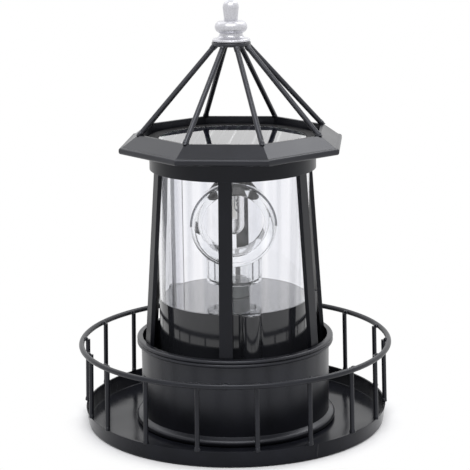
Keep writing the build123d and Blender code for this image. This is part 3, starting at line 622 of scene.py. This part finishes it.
dress(SHEET_COAT, "cup", "eave", "eave_shelf")
dress(TRAY_COAT, "tray")
dress(WIRE_COAT, "railing_hoop", "railing_balusters")
dress(SHADED_POST_COAT, "collar", "lantern_posts")
dress(LIT_ROD_COAT, "roof_rods", "roof_hub")
dress(GLOSSY_BLACK, "drum_shell")
dress(GLOSSY_GREY, "turntable")
dress(
    BLACK_MATTE,
    "panel_dish", "lamp_holder", "drum_base", "battery_holder", "switch_body", "switch_slider",
)
dress(CLEAR_TUBE, "glazing_tube")
dress(CLEAR_COVER, "panel_cover")
dress(CLEAR_LENS, "lens_column", "lens_barrel")
dress(LAMP_GLASS, "led_capsule")
dress(SILVER, "finial")
dress(
    ZINC,
    "holder_screws", "drum_screws", "plate_screws", "motor_screws", "gear_motor", "motor_shaft",
    "battery_contacts",
)
dress(SILICON, "solar_cells")
dress(PHOSPHOR, "led_die")
dress(matte_plastic("glass_fibre_laminate", "#1d3a2a"), "panel_board", "circuit_board")
dress(white_ceramic(), "led_stem")
dress(matte_plastic("natural_nylon", "#dedcd2"), "drive_gear", "motor_pinion")
dress(matte_plastic("grey_abs", "#8a8b8d"), "drive_plate")
dress(matte_plastic("shrink_sleeve", "#3f6b4f"), "battery_cell")

# Welds under the paint, lamp wires, and thin clear pieces


def place(radius_mm, angle, level_mm):
    """Point in metres at a radius and a level. The angle is nought at the front and grows to the right."""
    turn = math.radians(angle)
    return Vector((radius_mm * math.sin(turn), -radius_mm * math.cos(turn), level_mm)) * MM


def finish_piece(name, mesh_data, material, body="lantern"):
    """Makes a smooth shaded piece on a body from a filled bmesh."""
    bmesh.ops.recalc_face_normals(mesh_data, faces=mesh_data.faces)
    mesh = bpy.data.meshes.new(name)
    mesh_data.to_mesh(mesh)
    mesh_data.free()
    for face in mesh.polygons:
        face.use_smooth = True
    mesh.materials.append(material)
    piece = bpy.data.objects.new(name, mesh)
    bpy.context.scene.collection.objects.link(piece)
    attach(piece, body)
    return piece


def skin_rows(mesh_data, rows):
    """Faces between closed rows of points, one row after the other."""
    for low, high in zip(rows, rows[1:]):
        for step in range(len(low)):
            after = (step + 1) % len(low)
            mesh_data.faces.new((low[step], low[after], high[after], high[step]))


def cap_rows(mesh_data, rows):
    """Faces over the first and the last row."""
    mesh_data.faces.new(rows[0][::-1])
    mesh_data.faces.new(rows[-1])


def weld_collar(mesh_data, foot, head, profile_mm, seed):
    """Uneven fillet of weld round a wire, from radii and distances along the wire."""
    axis = (head - foot).normalized()
    side = axis.orthogonal().normalized()
    other = axis.cross(side)
    rows = []
    for radius, along in profile_mm:
        row = []
        for step in range(WELD_SIDES):
            turn = 2 * math.pi * step / WELD_SIDES
            lump = 1 + 0.12 * math.sin(2 * turn + seed) + 0.07 * math.sin(5 * turn + 2 * seed + along)
            out = (side * math.cos(turn) + other * math.sin(turn)) * radius * lump * MM
            row.append(mesh_data.verts.new(foot + axis * along * MM + out))
        rows.append(row)
    skin_rows(mesh_data, rows)
    cap_rows(mesh_data, rows)


def weld_blob(mesh_data, centre, angle, reach_mm, seed):
    """Small uneven lump of weld, with its reach outwards, sideways and upwards."""
    made = bmesh.ops.create_icosphere(mesh_data, subdivisions=3, radius=1.0)
    turn = Matrix.Rotation(math.radians(angle), 3, "Z")
    for vertex in made["verts"]:
        unit = vertex.co.copy()
        lump = 1 + 0.1 * math.sin(3 * unit.x + seed) * math.cos(4 * unit.z - seed)
        spread = Vector((unit.x * reach_mm[1], -unit.y * reach_mm[0], unit.z * reach_mm[2]))
        vertex.co = centre + turn @ spread * lump * MM


def baluster_welds():
    """Welds of the balusters: a fillet on the tray's edge and a lump behind the hoop."""
    mesh_data = bmesh.new()
    for index, angle in enumerate(BALUSTER_ANGLES):
        foot = place(BALUSTER_FOOT_MM, angle, TRAY_HEIGHT_MM)
        head = place(BALUSTER_HEAD_MM, angle, HOOP_LEVEL_MM)
        weld_collar(mesh_data, foot, head, BALUSTER_WELD_MM, 1.7 * index)
        middle = place((BALUSTER_HEAD_MM + HOOP_CENTRE_MM) / 2, angle, HOOP_LEVEL_MM + HEAD_WELD_RISE_MM)
        weld_blob(mesh_data, middle, angle, HEAD_WELD_MM, 2.3 * index)
    return finish_piece("baluster_welds", mesh_data, WIRE_COAT)


def rod_welds():
    """Welds of the roof rods on the eave's corners and under the hub."""
    mesh_data = bmesh.new()
    for index in range(ROD_COUNT):
        angle = 360 * (index + 0.5) / ROD_COUNT
        foot = place(ROD_FOOT_MM, angle, EAVE_TOP_MM)
        head = place(ROD_HEAD_MM, angle, HUB_LEVEL_MM)
        weld_collar(mesh_data, foot, head, ROD_WELD_MM, 2.1 * index)
        weld_collar(mesh_data, head, foot, ROD_WELD_MM, 1.3 * index)
    return finish_piece("rod_welds", mesh_data, LIT_ROD_COAT)


def hoop_weld():
    """Ground butt weld where the hoop's wire was closed, just right of the middle post."""
    mesh_data = bmesh.new()
    rows = []
    for step in range(HOOP_WELD_STEPS + 1):
        along = 2 * step / HOOP_WELD_STEPS - 1
        swell = HOOP_WELD_SWELL_MM * math.cos(along * math.pi / 2) ** 2 - HOOP_WELD_SINK_MM
        angle = HOOP_WELD_ANGLE + along * HOOP_WELD_SPREAD
        row = []
        for side in range(WELD_SIDES):
            turn = 2 * math.pi * side / WELD_SIDES
            radius = HOOP_WIRE_MM / 2 + swell * (1 + 0.2 * math.sin(3 * turn + 5 * along))
            reach = HOOP_CENTRE_MM + radius * math.cos(turn) - 1.3 * max(swell, 0)
            row.append(mesh_data.verts.new(place(reach, angle, HOOP_LEVEL_MM + radius * math.sin(turn))))
        rows.append(row)
    skin_rows(mesh_data, rows)
    return finish_piece("hoop_weld", mesh_data, WIRE_COAT)


def tray_seam():
    """Raised seam across the tray's turned up edge."""
    mesh_data = bmesh.new()
    rows = []
    for step in range(SEAM_STEPS + 1):
        level = SEAM_FOOT_MM + SEAM_HEIGHT_MM * step / SEAM_STEPS
        wall = TRAY_RADIUS_MM + TRAY_FLARE_MM * (level - TRAY_BEND_MM) / (TRAY_HEIGHT_MM - TRAY_BEND_MM)
        height = SEAM_CROWN_MM * (0.85 + 0.15 * math.sin(2.2 * level))
        row = []
        for across in range(-SEAM_STRIPS, SEAM_STRIPS + 1):
            crown = height * (1 - (across / SEAM_STRIPS) ** 2) - SEAM_SINK_MM
            angle = SEAM_ANGLE + across * SEAM_STRIP_ANGLE
            row.append(mesh_data.verts.new(place(wall + crown, angle, level)))
        rows.append(row)
    for low, high in zip(rows, rows[1:]):
        for left, right, high_right, high_left in zip(low, low[1:], high[1:], high):
            mesh_data.faces.new((left, right, high_right, high_left))
    return finish_piece("tray_seam", mesh_data, TRAY_COAT)


def sweep(mesh_data, points_mm, radius_mm):
    """Thin round wire through points."""
    points = [Vector(point) * MM for point in points_mm]
    rows = []
    for index, point in enumerate(points):
        before = points[max(index - 1, 0)]
        after = points[min(index + 1, len(points) - 1)]
        along = (after - before).normalized()
        side = along.cross(Vector((0, 1, 0))).normalized()
        other = along.cross(side)
        row = []
        for step in range(WIRE_SIDES):
            turn = 2 * math.pi * step / WIRE_SIDES
            out = side * math.cos(turn) + other * math.sin(turn)
            row.append(mesh_data.verts.new(point + out * radius_mm * MM))
        rows.append(row)
    skin_rows(mesh_data, rows)
    cap_rows(mesh_data, rows)


def lamp_leads():
    """Two fine lead wires, down in front of the lamp's strip and then in a few loose bends beside it."""
    mesh_data = bmesh.new()
    for side in (-1, 1):
        points = []
        for step in range(LEAD_STEPS + 1):
            level = LEAD_TOP_MM + (LEAD_TURN_MM - LEAD_TOP_MM) * step / LEAD_STEPS
            points.append((side * (LEAD_APART_MM + 0.12 * math.sin(step)), LEAD_FRONT_MM, level))
        for step in range(BEND_STEPS * LEAD_BENDS + 1):
            share = step / (BEND_STEPS * LEAD_BENDS)
            swing = math.sin(share * LEAD_BENDS * math.pi + 0.4)
            reach = LEAD_REACH_MM + LEAD_SWING_MM * swing * (0.8 + 0.2 * math.sin(9 * share))
            level = LEAD_LOW_MM + (LEAD_END_MM - LEAD_LOW_MM) * share + 0.35 * math.sin(13 * share)
            points.append((side * reach, LEAD_FRONT_MM - 0.5 * math.sin(7 * share), level))
        sweep(mesh_data, points, LEAD_RADIUS_MM)
    return finish_piece("lamp_leads", mesh_data, LEAD_WIRE)


def tube_lap():
    """Inner end of the rolled clear sheet, glued over the tube's wall."""
    mesh_data = bmesh.new()
    outer = TUBE_BORE_MM - LAP_GAP_MM
    inner = outer - LAP_SHEET_MM
    section = ((outer, TUBE_FOOT_MM), (outer, TUBE_TOP_MM), (inner, TUBE_TOP_MM), (inner, TUBE_FOOT_MM))
    rows = []
    for step in range(LAP_STEPS + 1):
        angle = LAP_FROM + (LAP_TO - LAP_FROM) * step / LAP_STEPS
        rows.append([mesh_data.verts.new(place(radius, angle, level)) for radius, level in section])
    skin_rows(mesh_data, rows)
    cap_rows(mesh_data, rows)
    piece = finish_piece("tube_lap", mesh_data, GLUED_LAP)
    piece.data.set_sharp_from_angle(angle=math.radians(40))
    return piece


def painted_shade_lip():
    """Thin grey lip along the upper half of the lens ring's outer edge, which turns with the lens. Its grey
    is painted shade for the dark that the ring's upper rim refracts.
    """
    mesh_data = bmesh.new()
    spin = math.radians(LENS_TURN)
    points = []
    for step in range(LIP_STEPS + 1):
        turn = math.radians(180.0 * step / LIP_STEPS - 90.0)
        across = LIP_RADIUS_MM * math.sin(turn)
        points.append((
            across * math.cos(spin) + LIP_FRONT_MM * math.sin(spin),
            across * math.sin(spin) - LIP_FRONT_MM * math.cos(spin),
            LENS_LEVEL_MM + LIP_RADIUS_MM * math.cos(turn),
        ))
    sweep(mesh_data, points, LIP_SECTION_MM)
    return finish_piece("painted_shade_lip", mesh_data, SHADE_LIP_PLASTIC, "lens_carriage")


baluster_welds()
rod_welds()
hoop_weld()
tray_seam()
lamp_leads()
tube_lap()
painted_shade_lip()

# Floor, light and camera


def pale_floor():
    """White studio table that keeps the lantern's shadow and is burnt out to white further away."""
    mesh = bpy.data.meshes.new("studio_floor")
    left, right, front, back = -3.0, 3.0, -0.42, 6.0
    mesh.from_pydata(
        [(left, front, 0), (right, front, 0), (right, back, 0), (left, back, 0)], [], [(0, 1, 2, 3)]
    )
    floor = bpy.data.objects.new("studio_floor", mesh)
    bpy.context.scene.collection.objects.link(floor)
    material, tree = new_material("white_studio_table")
    paint = add_node(tree, "BsdfDiffuse", {"Color": linear("#ececee")})
    glow = add_node(tree, "Emission", {"Color": (1, 1, 1, 1), "Strength": FLOOR_GLOW})
    near = add_node(tree, "AddShader", {0: paint.outputs["BSDF"], 1: glow.outputs["Emission"]})
    white = add_node(tree, "Emission", {"Color": (1, 1, 1, 1), "Strength": 1.0})
    texture = add_node(tree, "TexCoord").outputs["Object"]
    away = add_node(tree, "VectorMath", {0: texture}, operation="LENGTH")
    fade = add_node(
        tree,
        "MapRange",
        {
            "Value": away.outputs["Value"],
            "From Min": FLOOR_SHADOW_MM * MM,
            "From Max": FLOOR_WHITE_MM * MM,
        },
        interpolation_type="SMOOTHSTEP",
    )
    burnt = add_node(
        tree, "Math", {0: fade.outputs["Result"], 1: seen_rays(tree)}, operation="MULTIPLY"
    )
    both = add_node(
        tree,
        "MixShader",
        {"Fac": burnt.outputs["Value"], 1: near.outputs["Shader"], 2: white.outputs["Emission"]},
    )
    add_node(tree, "OutputMaterial", {"Surface": both.outputs["Shader"]})
    mesh.materials.append(material)
    return floor


def softbox(name, azimuth, elevation, distance, width, height, radiance):
    """Rectangular soft light aimed at the lantern. Azimuth nought is in front and 90 is on the right."""
    light = bpy.data.lights.new(name, "AREA")
    light.shape = "RECTANGLE"
    light.size = width
    light.size_y = height
    light.energy = radiance * math.pi * width * height
    lamp = bpy.data.objects.new(name, light)
    turn = math.radians(azimuth)
    rise = math.radians(elevation)
    aim = Vector((0, 0, LAMPS_AIM_MM * MM))
    out = Vector((math.sin(turn) * math.cos(rise), -math.cos(turn) * math.cos(rise), math.sin(rise)))
    lamp.location = aim + out * distance
    lamp.rotation_euler = out.to_track_quat("Z", "Y").to_euler()
    bpy.context.scene.collection.objects.link(lamp)
    return lamp


def studio_world():
    """White surroundings that light the lantern from behind and above, and little from the camera's side."""
    world = bpy.data.worlds.new("studio")
    world.use_nodes = True
    tree = world.node_tree
    tree.nodes.clear()
    direction = add_node(tree, "TexCoord").outputs["Generated"]
    split = add_node(tree, "SeparateXYZ", {"Vector": direction})
    behind = add_node(
        tree,
        "MapRange",
        {
            "Value": split.outputs["Y"],
            "From Min": -0.35,
            "From Max": 0.25,
            "To Min": FRONT_LIGHT,
            "To Max": BACK_LIGHT,
        },
    )
    above = add_node(
        tree,
        "MapRange",
        {"Value": split.outputs["Z"], "From Min": 0.5, "From Max": 0.9, "To Max": TOP_LIGHT},
    )
    lit = add_node(
        tree, "Math", {0: behind.outputs["Result"], 1: above.outputs["Result"]}, operation="MAXIMUM"
    )
    strength = add_node(
        tree, "Math", {0: lit.outputs["Value"], 1: seen_rays(tree)}, operation="MAXIMUM"
    )
    sky = add_node(tree, "Background", {"Color": (1, 1, 1, 1), "Strength": strength.outputs["Value"]})
    add_node(tree, "OutputWorld", {"Surface": sky.outputs["Background"]})
    bpy.context.scene.world = world


def photo_camera():
    """Camera at the photograph's place, with the photograph's field of view across its width."""
    data = bpy.data.cameras.new("camera")
    data.sensor_width = SENSOR_MM
    data.lens = FOCAL_PIXELS / IMAGE_PIXELS * data.sensor_width
    data.clip_start = 0.01
    data.clip_end = 50.0
    camera = bpy.data.objects.new("camera", data)
    turn = math.radians(CAMERA_TURN)
    camera.location = (
        CAMERA_DISTANCE_MM * MM * math.sin(turn),
        -CAMERA_DISTANCE_MM * MM * math.cos(turn),
        CAMERA_HEIGHT_MM * MM,
    )
    heading = Matrix.Rotation(math.radians(CAMERA_TURN - CAMERA_YAW), 3, "Z")
    tilt = Matrix.Rotation(math.radians(90 - CAMERA_PITCH), 3, "X")
    roll = Matrix.Rotation(math.radians(CAMERA_ROLL), 3, "Z")
    camera.rotation_euler = (heading @ tilt @ roll).to_euler()
    bpy.context.scene.collection.objects.link(camera)
    bpy.context.scene.camera = camera


pale_floor()
studio_world()
softbox("key_back_left", azimuth=230, elevation=46, distance=1.3, width=0.8, height=0.8, radiance=0.8)
softbox("key_back_right", azimuth=138, elevation=50, distance=1.3, width=0.6, height=0.6, radiance=3.4)
softbox("front_fill", azimuth=0, elevation=60, distance=1.6, width=1.2, height=0.8, radiance=5.0)
photo_camera()
bpy.context.scene.view_settings.view_transform = "Standard"
